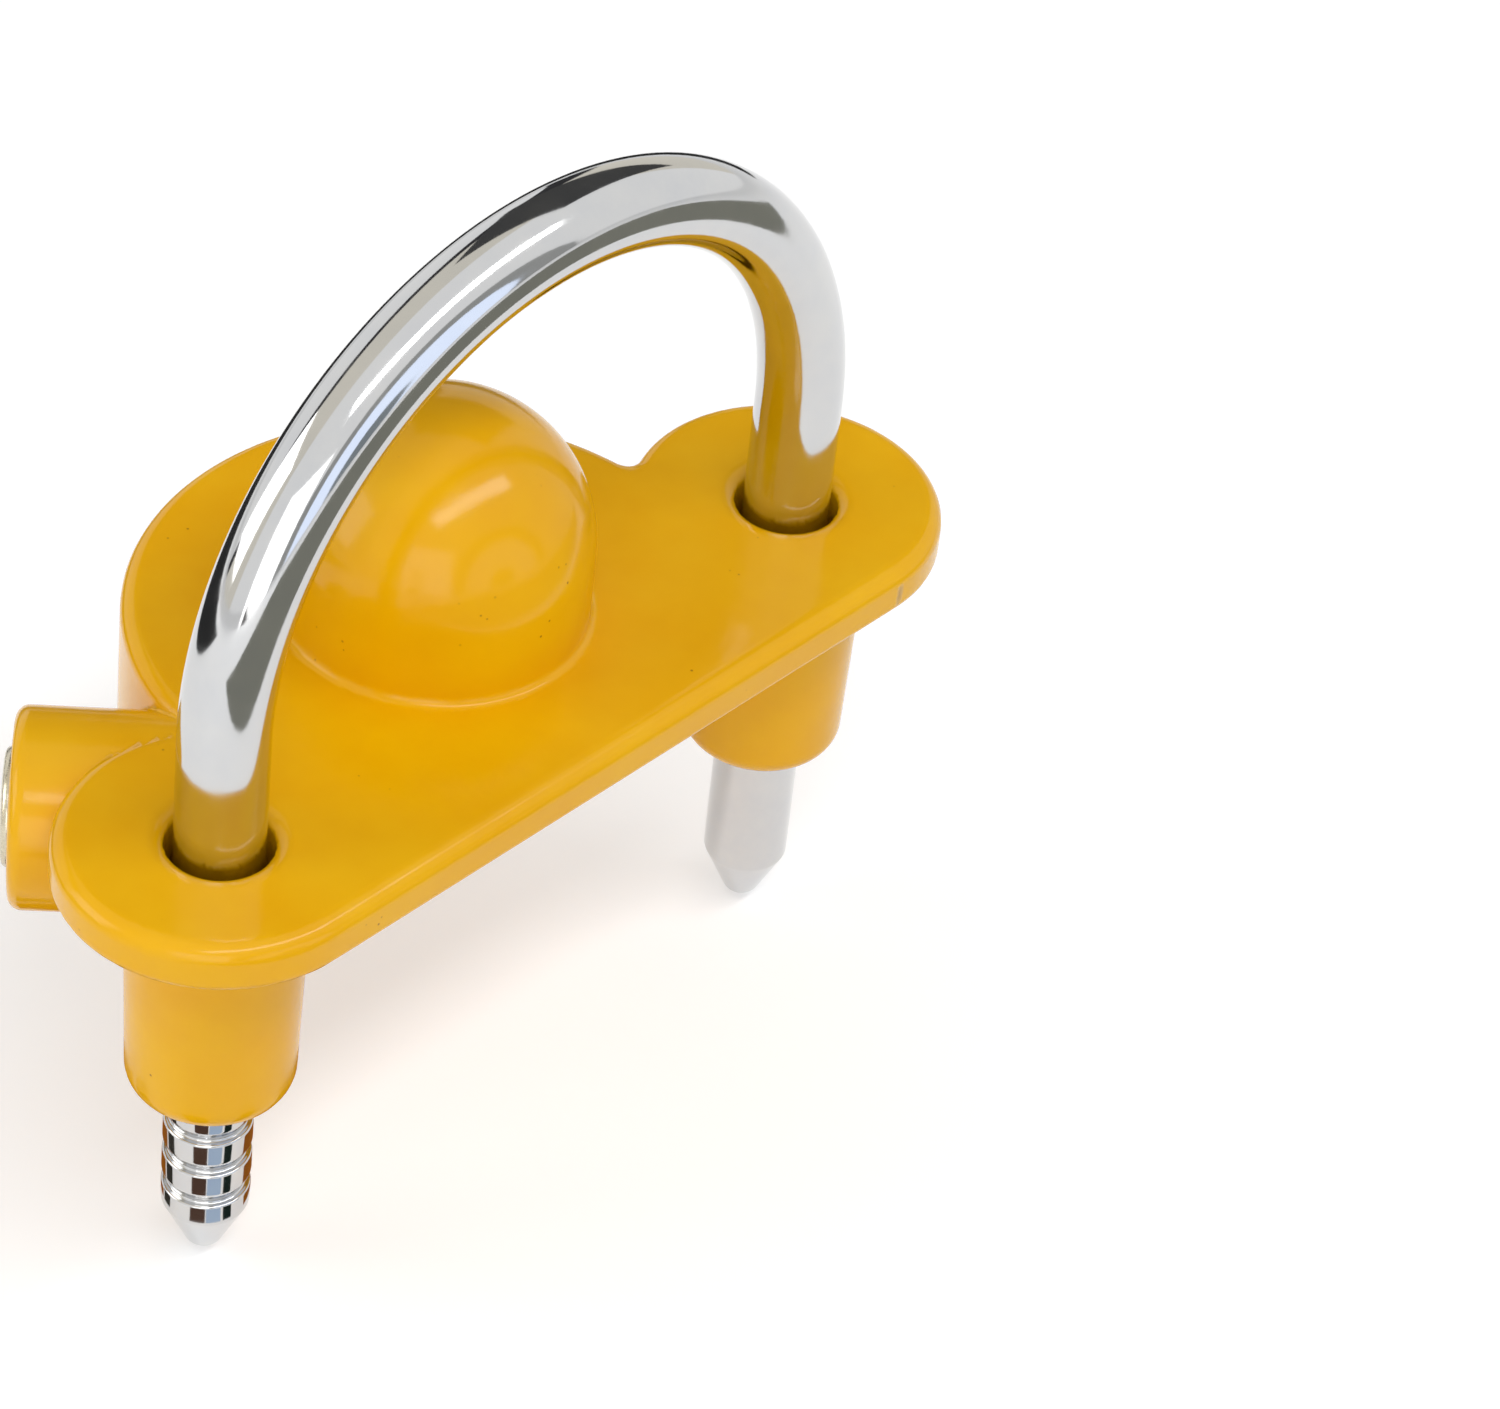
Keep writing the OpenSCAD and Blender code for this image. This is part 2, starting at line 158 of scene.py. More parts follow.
# %% mesh helpers
def make_object(name, points_mm, faces, material, body, replaced):
    """A smooth mesh object in metres from points in millimetres, riding on a body."""
    mesh = bpy.data.meshes.new(name)
    mesh.from_pydata((np.asarray(points_mm) * MM).tolist(), [], faces)
    mesh.validate()
    mesh.shade_smooth()
    obj = bpy.data.objects.new(name, mesh)
    bpy.context.scene.collection.objects.link(obj)
    mesh.materials.append(material)
    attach(obj, body)
    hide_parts(replaced)
    print(name, "has", len(mesh.vertices), "points and", len(mesh.polygons), "faces")
    return obj


def grid_faces(rows, columns, close_rows=False):
    """Quads of a grid that is closed round its columns, and along its rows if asked."""
    r = np.arange(rows if close_rows else rows - 1)[:, None]
    c = np.arange(columns)[None, :]
    r2, c2 = (r + 1) % rows, (c + 1) % columns
    quads = np.stack([r * columns + c, r * columns + c2, r2 * columns + c2, r2 * columns + c], -1)
    return quads.reshape(-1, 4)


def soften(profile, corner, steps=5):
    """Each inner corner B of a profile becomes (1-t)^2 P + 2t(1-t) B + t^2 Q, t from 0 to 1.

    P and Q lie on the sides before and after B, at the corner's size or 0.45 of the side.
    """
    pts = np.asarray(profile, float)
    here, before, after = pts[1:-1], pts[:-2] - pts[1:-1], pts[2:] - pts[1:-1]
    len_p, len_q = (np.linalg.norm(v, axis=1, keepdims=True) for v in (before, after))
    p = here + before / len_p * np.minimum(corner, len_p * 0.45)
    q = here + after / len_q * np.minimum(corner, len_q * 0.45)
    t = np.linspace(0, 1, steps)[None, :, None]
    p, b, q = p[:, None], here[:, None], q[:, None]
    curve = (1 - t) ** 2 * p + 2 * t * (1 - t) * b + t ** 2 * q
    return np.concatenate([pts[:1], curve.reshape(-1, 2), pts[-1:]])


print("a square corner of 1 mm becomes", len(soften([(0, 1), (0, 0), (1, 0)], 0.3)), "points")

# %% [markdown]
# ## Powder coat
# The body is a casting in glossy yellow polyester powder coat. Powder melts into a film of
# about 0.1 mm that keeps a faint orange peel, with waves some 2 mm long. It could be a matt
# base under Principled's coat, but the film is one pigmented layer, so one dielectric surface
# shows it: a warm yellow with small clean highlights. The film is cloudy by a shade, and has
# a few darker specks where other powder got in.

# %% powder coat material
def powder_coat():
    """Yellow base with slow cloudiness, a few darker specks, and orange peel in the bump."""
    mat, tree, shader = new_material("yellow_powder_coat")
    place = add(tree, "ShaderNodeTexCoord").outputs["Object"]
    noise = add(tree, NOISE, Vector=place, Scale=per(22), Detail=3.0, Roughness=0.6).outputs[0]
    cloud = add(tree, SPREAD, Value=noise, From_Min=0.3, From_Max=0.7).outputs[0]
    base = add(tree, MIX, COLOUR, _0=cloud, _6=linear("#e3a500"), _7=linear("#e8af00"))
    # each cell of 2.4 mm holds a dot some 0.3 mm across, and a slow noise hides most of them
    cells = add(tree, "ShaderNodeTexVoronoi", Vector=place, Scale=420.0).outputs["Distance"]
    dot = add(tree, SPREAD, Value=cells, From_Min=0.11, From_Max=0.05).outputs[0]
    patch = add(tree, NOISE, Vector=place, Scale=per(14), Detail=1.0).outputs[0]
    rare = add(tree, SPREAD, Value=patch, From_Min=0.62, From_Max=0.68).outputs[0]
    speck = add(tree, "ShaderNodeMath", {"operation": "MULTIPLY"}, _0=dot, _1=rare).outputs[0]
    film = add(tree, MIX, COLOUR, _0=speck, _6=base.outputs[2], _7=linear("#a06c06"))
    tree.links.new(film.outputs[2], shader.inputs["Base Color"])
    peel = add(tree, NOISE, Vector=place, Scale=per(2.4), Detail=2.0).outputs[0]
    fine = add(tree, "ShaderNodeBump", Strength=0.08, Distance=0.4 * MM, Height=peel)
    wave = add(tree, NOISE, Vector=place, Scale=per(11), Detail=1.0).outputs[0]
    skin = add(tree, "ShaderNodeBump", Strength=0.10, Distance=1.2 * MM, Height=wave,
               Normal=fine.outputs[0])
    tree.links.new(skin.outputs[0], shader.inputs["Normal"])
    # gloss varies a little with the thickness of the film
    gloss = add(tree, SPREAD, Value=cloud, To_Min=0.13, To_Max=0.19)
    tree.links.new(gloss.outputs[0], shader.inputs["Roughness"])
    shader.inputs["Specular IOR Level"].default_value = 0.28
    return mat


PAINT = powder_coat()
print("made", PAINT.name, "with", len(PAINT.node_tree.nodes), "nodes")

# %% [markdown]
# ## Chrome plate
# The shackle is hardened steel bar, polished and plated with bright chromium, a nearly
# neutral metal that reflects a little over half of the light. A mirror of one roughness would
# do from afar. Handling leaves a haze that comes and goes over about 9 mm, so the roughness
# wanders between 0.05 and 0.13, and the haze is what makes the bar look touched.

# %% chrome material
def chrome():
    """Neutral bright metal with a faint haze and the slightest unevenness."""
    mat, tree, shader = new_material("bright_chrome_plate")
    place = add(tree, "ShaderNodeTexCoord").outputs["Object"]
    haze = add(tree, NOISE, Vector=place, Scale=per(9), Detail=5.0, Roughness=0.65).outputs[0]
    gloss = add(tree, SPREAD, Value=haze, From_Min=0.35, From_Max=0.75, To_Min=0.05,
                To_Max=0.13)
    tree.links.new(gloss.outputs[0], shader.inputs["Roughness"])
    warm = add(tree, SPREAD, Value=haze, From_Min=0.3, From_Max=0.7).outputs[0]
    tint = add(tree, MIX, COLOUR, _0=warm, _6=linear("#c9cacc"), _7=linear("#d0d0cf"))
    tree.links.new(tint.outputs[2], shader.inputs["Base Color"])
    uneven = add(tree, NOISE, Vector=place, Scale=per(3.8), Detail=2.0).outputs[0]
    skin = add(tree, "ShaderNodeBump", Strength=0.03, Distance=0.3 * MM, Height=uneven)
    tree.links.new(skin.outputs[0], shader.inputs["Normal"])
    shader.inputs["Metallic"].default_value = 1.0
    return mat


CHROME = chrome()
print("made", CHROME.name, "with", len(CHROME.node_tree.nodes), "nodes")

# %% [markdown]
# ## Machined metals and rubber
# The cylinder's pieces are turned, ground or drawn. Each keeps the grain of its tool, which is
# a third of a millimetre wide: it darkens the metal a little, and makes the gloss uneven. All
# of them could be one grey steel, but a locksmith knows the pieces by their colours, so each
# metal gets its own tint through one function.

# %% machined metals
def machined(name, tint, roughness, grain_mm):
    """A metal whose grain shows in its colour, its gloss and a very small bump."""
    mat, tree, shader = new_material(name)
    place = add(tree, "ShaderNodeTexCoord").outputs["Object"]
    noise = add(tree, NOISE, Vector=place, Scale=per(grain_mm), Detail=4.0).outputs[0]
    grain = add(tree, SPREAD, Value=noise, From_Min=0.3, From_Max=0.7).outputs[0]
    light = linear(tint)
    dark = (*(0.8 * c for c in light[:3]), 1.0)
    colour = add(tree, MIX, COLOUR, _0=grain, _6=dark, _7=light)
    tree.links.new(colour.outputs[2], shader.inputs["Base Color"])
    gloss = add(tree, SPREAD, Value=grain, To_Min=0.8 * roughness, To_Max=1.25 * roughness)
    tree.links.new(gloss.outputs[0], shader.inputs["Roughness"])
    skin = add(tree, "ShaderNodeBump", Strength=0.15, Distance=0.1 * MM, Height=noise)
    tree.links.new(skin.outputs[0], shader.inputs["Normal"])
    shader.inputs["Metallic"].default_value = 1.0
    return mat


# a warm dull silver, as nickel over a tumbled zinc casting
NICKEL = machined("satin_nickel_plate", "#d9d0b8", 0.24, 0.35)
# brass whose yellow shows through a thin nickel flash
PLUG_METAL = machined("nickel_plated_brass", "#cfc5a8", 0.28, 0.3)
# plain free-cutting brass, as turned
BRASS = machined("turned_brass", "#c9a13f", 0.3, 0.3)
# bluish grey of bright zinc on steel
STEEL = machined("zinc_plated_steel", "#9fa3a8", 0.35, 0.4)
# brown-gold drawn wire
BRONZE = machined("phosphor_bronze_wire", "#b98a4a", 0.35, 0.3)
# darker grey of hardened and ground steel
TOOL_STEEL = machined("ground_tool_steel", "#8b9096", 0.3, 0.4)
print("made", [m.name for m in (NICKEL, PLUG_METAL, BRASS, STEEL, BRONZE, TOOL_STEEL)])

# %% [markdown]
# The seal behind the bezel is an O-ring of moulded nitrile. Plain black would look like a
# hole, so a bloom on its skin, some 3 mm across, lifts the black to a dark grey in places.

# %% rubber
def rubber():
    """Moulded black nitrile rubber: dark and dull, with a faint bloom on its skin."""
    mat, tree, shader = new_material("nitrile_rubber")
    place = add(tree, "ShaderNodeTexCoord").outputs["Object"]
    noise = add(tree, NOISE, Vector=place, Scale=per(3), Detail=3.0).outputs[0]
    bloom = add(tree, SPREAD, Value=noise, From_Min=0.3, From_Max=0.7).outputs[0]
    colour = add(tree, MIX, COLOUR, _0=bloom, _6=linear("#141414"), _7=linear("#242424"))
    tree.links.new(colour.outputs[2], shader.inputs["Base Color"])
    shader.inputs["Roughness"].default_value = 0.6
    return mat


RUBBER = rubber()
print("made", RUBBER.name)

# %% [markdown]
# ## Cast body
# A casting has no sharp inner corner: every boss runs into the plate with a small fillet.
# Primitives with a Boolean and a Bevel could make it, but bevels fail where several fillets
# meet. A signed distance gives them directly. Each form is a function that is negative
# inside, and two forms are joined or cut with a circular fillet of a chosen radius.

# %% distance helpers
def join(a, b, r):
    """Union with a concave fillet: max(r, min(a, b)) - length(max(r - a, 0), max(r - b, 0))."""
    return np.maximum(r, np.minimum(a, b)) - np.hypot(np.maximum(r - a, 0), np.maximum(r - b, 0))


def cap(a, b, r):
    """Intersection with a rounded edge: min(-r, max(a, b)) + length of what is within r."""
    return np.minimum(-r, np.maximum(a, b)) + np.hypot(np.maximum(r + a, 0), np.maximum(r + b, 0))


def box2(x, y, cx, cy, hx, hy):
    """Distance to a rectangle: outside by the corner's distance, inside by the nearer side."""
    dx, dy = np.abs(x - cx) - hx, np.abs(y - cy) - hy
    return np.hypot(np.maximum(dx, 0), np.maximum(dy, 0)) + np.minimum(np.maximum(dx, dy), 0)


def lock_axes(p):
    """Distances along the key axis and along the bolt axis, and the height over both."""
    q = p - KEY_FOOT
    return q @ KEY_DIR, q @ BOLT_DIR, q[:, 2]


print("two walls that meet at the origin, joined with 1 mm:", join(0.0, 0.0, 1.0).round(3))

# %% [markdown]
# The outer form: a plate with two ears and a round middle, a drum under it that stops short
# of the rear edge, a boss with a little draft under each ear, the housing of the cylinder with
# a web to the leg's bore, and the stub, which is a post with a half ball on top. The housing
# lies so close under the plate that its fillet has to fade out there.

# %% outer form
# R is a radius or a fillet, T a thickness, H a height, L a length
PLATE_T, EDGE_R, EDGE_LOW_R, OUTLINE_R = 7.5, 2.6, 1.6, 3.0
BOSS_TOP_R, BOSS_LOW_R, BOSS_EDGE_R, BOSS_ROOT_R = 12.8, 11.9, 3.6, 1.4
DRUM_H, DRUM_STOP, DRUM_CORNER_R, DRUM_LOW_R = 29.0, 3.0, 2.5, 1.6
HOUSE_R, FACE_OFF, HOUSE_EDGE_R, HOUSE_ROOT_R, SHARP = 14.2, 28.9, 2.0, 0.9, 0.02
BOLT_R, WEB_WALL, WEB_SHIFT, WEB_EXTRA, STUB_ROOT_R = 4.0, 3.5, 2.0, 1.0, 1.2


def outer_form(p):
    """The plate joined with drum, bosses, housing, web and stub. p is in millimetres."""
    x, y, z = p.T
    along_key, along_bolt, over = lock_axes(p)
    leg = np.hypot(np.abs(x) - LEG_X, y - LEG_Y)
    middle = np.hypot(x, y) - DRUM_R
    # plate: two ears and the strip between them, joined to the middle and cut at the rear
    arms = np.minimum(leg - EAR_R, box2(x, y, 0, REAR_Y / 2, LEG_X, REAR_Y / 2))
    outline = np.maximum(join(arms, middle, OUTLINE_R), y - REAR_Y)
    plate = cap(cap(outline, z, EDGE_R), -z - PLATE_T, EDGE_LOW_R)
    # drum: the round middle carried down, but not as far back as the legs
    drum = cap(np.maximum(middle, z + PLATE_T / 2), y - (LEG_Y - DRUM_STOP), DRUM_CORNER_R)
    form = np.minimum(plate, cap(drum, -z - DRUM_H, DRUM_LOW_R))
    # bosses: round the axes of the legs, and wider towards the plate by the draft
    draft = (BOSS_TOP_R - BOSS_LOW_R) / (BOSS_H - PLATE_T)
    boss = np.maximum(leg - BOSS_LOW_R - draft * (z + BOSS_H), z + PLATE_T / 2)
    form = join(form, cap(boss, -z - BOSS_H, BOSS_EDGE_R), BOSS_ROOT_R)
    # housing: a cylinder along the key axis, and the web that takes the bolt to the leg
    fade = np.clip(outline / 2, SHARP, HOUSE_ROOT_R)
    house = np.maximum(np.hypot(along_bolt, over) - HOUSE_R, -along_key)
    form = join(form, cap(house, along_key - FACE_OFF, HOUSE_EDGE_R), fade)
    web_half = BOLT_R + WEB_WALL
    web = np.maximum(box2(along_key, over, 0, WEB_SHIFT, web_half, web_half + WEB_EXTRA),
                     np.abs(along_bolt - KEY_OFF / 2) - KEY_OFF / 2)
    form = join(form, web, fade)
    # stub: the distance to the axis up to STUB_H, and to the axis' end above it
    stub = np.sqrt(x * x + y * y + np.maximum(z - STUB_H, 0) ** 2) - STUB_R
    return join(form, np.maximum(stub, -z - 2), STUB_ROOT_R)


print("the plate's top is", outer_form(np.array([[40.0, 20.0, 1.0]])).round(2), "mm below z = 1")

# %% [markdown]
# What is cut from it: the hollow under the body, clear of the block round the lock, the two
# bores for the legs with their rounded mouths, and the bores of the barrel, the cam, the bolt,
# the plug behind the bolt, and the retaining pin. All of them leave room for what moves.

# %% the whole body
WALL_T, ROOF_EXTRA, BLOCK_WALL = 7.0, 1.0, 4.5
HOLLOW_R, HOLLOW_ROOF_R, HOLLOW_BLOCK_R, HOLLOW_RIM_R = 2.0, 1.5, 1.0, 0.8
BORE_R, BORE_TOP_R, BORE_END_R, BORE_SPLIT_Z = BAR_R + 0.08, 0.3, 0.6, -20.0
RELIEF_R, RELIEF_L, RELIEF_END_R, MOUTH_R, MOUTH_Z = BAR_R + 0.4, 9.4, 0.2, 3.4, -5.0
BARREL_R, BARREL_BACK, FACE_EDGE_R, FACE_ZONE, CAM_SPACE_R = 7.8, 11.0, 0.45, 3.0, 6.9
BOLT_BORE_END, STOP_R, STOP_L, STOP_ROOM = 17.0, 5.5, 7.0, 1.0
KEEP_X, KEEP_R, KEEP_TOP = 17.0, 1.25, 4.0
CLEAR, BOLT_CLEAR = 0.03, 0.05


def body_distance(p):
    """The outer form less the hollow and the bores: the larger of it and minus each of them."""
    x, y, z = p.T
    along_key, along_bolt, over = lock_axes(p)
    leg = np.hypot(np.abs(x) - LEG_X, y - LEG_Y)
    # hollow: the round middle less the wall, without the block that holds the bolt
    block = np.maximum(-along_key - BOLT_R - BLOCK_WALL, -along_bolt - BOLT_BORE_END - STOP_L)
    hollow = cap(np.hypot(x, y) - DRUM_R + WALL_T, y - (LEG_Y - DRUM_STOP - WALL_T), HOLLOW_R)
    hollow = cap(cap(hollow, -block, HOLLOW_BLOCK_R), z + PLATE_T + ROOF_EXTRA, HOLLOW_ROOF_R)
    form = cap(outer_form(p), -hollow, HOLLOW_RIM_R)
    # bores of the legs, with a relief and a rounded mouth at the top
    form = cap(form, BORE_R - leg, np.where(z > BORE_SPLIT_Z, BORE_TOP_R, BORE_END_R))
    relief = np.maximum(leg - RELIEF_R, -z - RELIEF_L)
    form = cap(form, -relief, np.where(z > MOUTH_Z, MOUTH_R, RELIEF_END_R))
    # bore of the barrel, a little softer at the face
    rho = np.hypot(along_bolt, over)
    barrel = np.maximum(rho - BARREL_R - CLEAR, BARREL_BACK - along_key)
    near_face = along_key > FACE_OFF - FACE_ZONE
    form = cap(form, -barrel, np.where(near_face, FACE_EDGE_R, SHARP))
    # room for the cam, the bolt, the plug behind the bolt, and the barrel's retaining pin
    cam_space = np.maximum(rho - CAM_SPACE_R, -along_key)
    bolt_rho = np.hypot(along_key, over)
    bolt = np.maximum(bolt_rho - BOLT_R - BOLT_CLEAR,
                      np.maximum(-along_bolt - BOLT_BORE_END, along_bolt - KEY_OFF))
    stop = np.maximum(bolt_rho - STOP_R - CLEAR,
                      np.maximum(along_bolt + BOLT_BORE_END,
                                 -along_bolt - BOLT_BORE_END - STOP_L - STOP_ROOM))
    keep = np.maximum(np.hypot(along_key - KEEP_X, along_bolt + BARREL_R) - KEEP_R - CLEAR,
                      over - KEEP_TOP)
    holes = np.minimum(np.minimum(cam_space, bolt), np.minimum(stop, keep))
    return np.maximum(form, -holes)


in_hollow = np.array([[-20.0, -10.0, -20.0]])
print("the middle of the hollow is", body_distance(in_hollow).round(1), "mm from metal")

# %% [markdown]
# A distance is no mesh yet. Marching cubes would need a long table of cases, so a surface net
# is used: a cell whose corners lie on both sides of the surface gets one point, the mean of
# where its edges cross it, and the four cells round each crossing edge make a quad.

# %% surface from a distance
def sample(distance, low, counts, cell):
    """The distance at every node of a grid, one slab of constant X at a time."""
    x, y, z = (low[i] + cell * np.arange(counts[i]) for i in range(3))
    yy, zz = (v.ravel() for v in np.meshgrid(y, z, indexing="ij"))
    slabs = [distance(np.stack([np.full(yy.size, v), yy, zz], 1)) for v in x]
    return np.array(slabs).reshape(counts)


def net(distance, low, high, cell):
    """Points and quads of the surface where the distance is zero, inside a box."""
    counts = np.ceil((high - low) / cell).astype(int) + 1
    values = sample(distance, low, counts, cell)
    total, number = np.zeros((*(counts - 1), 3)), np.zeros(counts - 1)
    crossings = []
    for axis in range(3):
        first, second = np.moveaxis(values, axis, 0)[:-1], np.moveaxis(values, axis, 0)[1:]
        cross = np.moveaxis((first < 0) != (second < 0), 0, axis)
        fa, fb = (np.moveaxis(v, 0, axis)[cross] for v in (first, second))
        place = np.argwhere(cross)
        point = place.astype(float)
        point[:, axis] += fa / (fa - fb)
        one, two = np.delete(np.eye(3, dtype=int), axis, 0)
        around = [place, place - one, place - one - two, place - two]
        for c in around:
            ok = ((c >= 0) & (c < counts - 1)).all(1)
            np.add.at(total, tuple(c[ok].T), point[ok])
            np.add.at(number, tuple(c[ok].T), 1)
        crossings.append((around, (fa < 0) == (axis != 1)))
    used = number > 0
    index = np.full(number.shape, -1)
    index[used] = np.arange(used.sum())
    quads = []
    for around, forward in crossings:
        quad = np.stack([index[tuple(np.clip(c, 0, counts - 2).T)] for c in around], 1)
        quad[~forward] = quad[~forward][:, ::-1]
        quads.append(quad[(quad >= 0).all(1)])
    return low + cell * total[used] / number[used][:, None], np.concatenate(quads)


print("the net function is ready")

# %% [markdown]
# A net's points lie near the surface, not on it. Newton steps along the gradient pull them on
# to it: each step is minus the distance times the gradient, over the gradient squared. Between
# pulls each point moves half way to the mean of its neighbours, which evens the quads out.

# %% pull and relax
def gradient(distance, p, step=0.01):
    """Central differences of the distance along X, Y and Z."""
    shifts = np.eye(3) * step
    return np.stack([(distance(p + s) - distance(p - s)) / (2 * step) for s in shifts], 1)


def pull(distance, p, rounds):
    """Newton steps on to the surface, none of them longer than 0.6 mm along an axis."""
    for _ in range(rounds):
        g = gradient(distance, p)
        step = (distance(p) / np.maximum((g * g).sum(1), 0.2))[:, None] * g
        p = p - np.clip(step, -0.6, 0.6)
    return p


def relax(points, quads, distance, rounds):
    """Moves each point half way to the mean of its neighbours, then back on the surface."""
    ends = np.concatenate([quads[:, [i, (i + 1) % 4]] for i in range(4)])
    count = np.maximum(np.bincount(ends[:, 0], minlength=len(points)), 1)[:, None]
    for _ in range(rounds):
        mean = np.zeros_like(points)
        np.add.at(mean, ends[:, 0], points[ends[:, 1]])
        points = pull(distance, (points + mean / count) / 2, 2)
    return points


print("pull and relax are ready")

# %% [markdown]
# The cell is under a millimetre, which the smallest fillet needs. The shading normals come
# from the gradient too, so the glossy paint shows no facets.

# %% build the body
CELL = 0.85
margin = np.full(3, 2.3)
body_points, body_quads = net(body_distance, body_lo - margin, body_hi + margin, CELL)
body_points = relax(body_points, body_quads, body_distance, 2)
body_points = pull(body_distance, body_points, 3)
cast_body = make_object("cast_body", body_points, body_quads.tolist(), PAINT, "body",
                        "lock_body")
normals = gradient(body_distance, body_points)
normals /= np.maximum(np.linalg.norm(normals, axis=1), 1e-6)[:, None]
cast_body.data.normals_split_custom_set_from_vertices(normals.tolist())
print("farthest point from the surface:", np.abs(body_distance(body_points)).max().round(4), "mm")

# %% [markdown]
# ## Shackle
# One bar, bent to a half circle, with ratchet grooves turned into the leg that the bolt grips.
# A curve with a round bevel could make the bend but not the grooves. So it is a circle carried
# along the path, and its radius follows a profile of height and radius: a rounded cone at each
# tip, and on the lock side a shoulder, a root and a cone per groove.

# %% shackle profile
GROOVES, PITCH, DEPTH = 9, 6.1, 0.9
SHOULDER_LOW, ROOT, CONE, LAND_ROUND = 1.4, 0.9, 1.3, 0.4
TIP_LEN, TIP_ROUND = 9.4, 3.2


def tip_profile():
    """From the axis outwards: an arc of the tip's radius, then a cone up to the bar.

    The arc ends where its slope is the cone's, about 0.9 of its radius out and 0.6 up.
    """
    cone_angle = math.atan2(BAR_R - TIP_ROUND * 0.9, TIP_LEN - TIP_ROUND * 0.6)
    angle = np.linspace(0.02, math.pi / 2 - cone_angle, 8)
    arc = np.stack([TIP_Z + TIP_ROUND * (1 - np.cos(angle)), TIP_ROUND * np.sin(angle)], 1)
    return np.vstack([arc, [TIP_Z + TIP_LEN, BAR_R]])


def leg_profile(grooved):
    """Height and radius of a leg, from its tip up to where the arch begins."""
    parts = [tip_profile()]
    if grooved:
        shoulders = KEY_FOOT[2] - SHOULDER_LOW - PITCH * np.arange(GROOVES)[::-1]
        steps = np.array([[-0.001, BAR_R], [0, BAR_R - DEPTH], [ROOT, BAR_R - DEPTH],
                          [ROOT + CONE, BAR_R]])
        cuts = np.stack([shoulders[:, None] + steps[:, 0],
                         np.broadcast_to(steps[:, 1], (GROOVES, 4))], -1)
        parts.append(cuts.reshape(-1, 2))
    return soften(np.vstack([*parts, [[ARCH_Z, BAR_R]]]), LAND_ROUND)


print("the grooved leg has", len(leg_profile(True)), "rings, the plain one",
      len(leg_profile(False)))

# %% [markdown]
# The path runs up the lock-side leg, round the arch and down the other leg. At each place the
# circle lies in the plane of the outward direction of the arch and of Y.

# %% build the shackle
SIDES, BENDS = 72, 88
near, far = leg_profile(True), leg_profile(False)[::-1]
bend = np.linspace(0, math.pi, BENDS + 2)[1:-1]
angle = np.concatenate([np.zeros(len(near)), bend, np.full(len(far), math.pi)])
height = np.concatenate([near[:, 0], np.full(BENDS, ARCH_Z), far[:, 0]])
radius = np.concatenate([near[:, 1], np.full(BENDS, BAR_R), far[:, 1]])
outward = np.stack([np.cos(angle), np.zeros(len(angle)), np.sin(angle)], 1)
path = LEG_X * outward + [0, LEG_Y, 0]
path[:, 2] += height
turn = np.linspace(0, 2 * math.pi, SIDES, endpoint=False)
circle = np.cos(turn)[:, None] * outward[:, None] + np.sin(turn)[:, None] * np.array([0, 1, 0])
rings = path[:, None] + radius[:, None, None] * circle
bar_faces = grid_faces(len(rings), SIDES).tolist()
last = (len(rings) - 1) * SIDES
bar_faces += [list(range(SIDES))[::-1], list(range(last, last + SIDES))]
make_object("shackle_bar", rings.reshape(-1, 3), bar_faces, CHROME, "shackle",
            "shackle")

# %% [markdown]
# ## Key cylinder
# What shows of the barrel is its bezel, a turned ring with a shallow dish towards the plug.
# The Screw modifier could turn it, but it leaves a live modifier and a seam. Here the whole
# barrel is one profile of (distance along the key axis, radius), carried round as a grid.

# %% build the barrel
BEZEL_R, BEZEL_OUT, PLUG_R, PLUG_HEAD_R = 8.4, 1.2, 4.4, 5.4
bezel_top = FACE_OFF + BEZEL_OUT
dish_r, bore_r = PLUG_HEAD_R + 0.08, PLUG_R + 0.2
barrel_profile = [(bezel_top - 0.5, dish_r), (bezel_top - 0.1, dish_r + 0.37),
                  (bezel_top, dish_r + 0.92), (bezel_top, BEZEL_R - 1.0),
                  (bezel_top - 0.25, BEZEL_R - 0.3), (bezel_top - 0.8, BEZEL_R),
                  (FACE_OFF + 0.02, BEZEL_R), (FACE_OFF + 0.02, BARREL_R),
                  (BARREL_BACK, BARREL_R), (BARREL_BACK, bore_r), (FACE_OFF - 0.4, bore_r),
                  (FACE_OFF - 0.4, dish_r)]
ring = soften(barrel_profile, 0.2)
spin = np.linspace(0, 2 * math.pi, 96, endpoint=False)
side, up = ring[:, 1:] * np.cos(spin), ring[:, 1:] * np.sin(spin)
barrel_points = (KEY_FOOT + ring[:, :1, None] * KEY_DIR + side[..., None] * BOLT_DIR
                 + up[..., None] * np.array([0, 0, 1]))
bezel = make_object("cylinder_bezel", barrel_points.reshape(-1, 3),
                    grid_faces(len(ring), len(spin), close_rows=True).tolist(), NICKEL, "body",
                    "cylinder_barrel")
bm = bmesh.new()
bm.from_mesh(bezel.data)
bmesh.ops.remove_doubles(bm, verts=bm.verts, dist=1e-7)
bmesh.ops.recalc_face_normals(bm, faces=bm.faces)
bm.to_mesh(bezel.data)
bm.free()
print("the bezel stands", BEZEL_OUT, "mm out of the housing")

# %% [markdown]
# ## Pieces inside
# The plug, its pins and springs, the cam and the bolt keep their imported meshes. They could be
# made again with finer edges, but they are seen only through the keyway, in the empty bores
# and in a cut, so it is enough that each gets the metal it is made of.

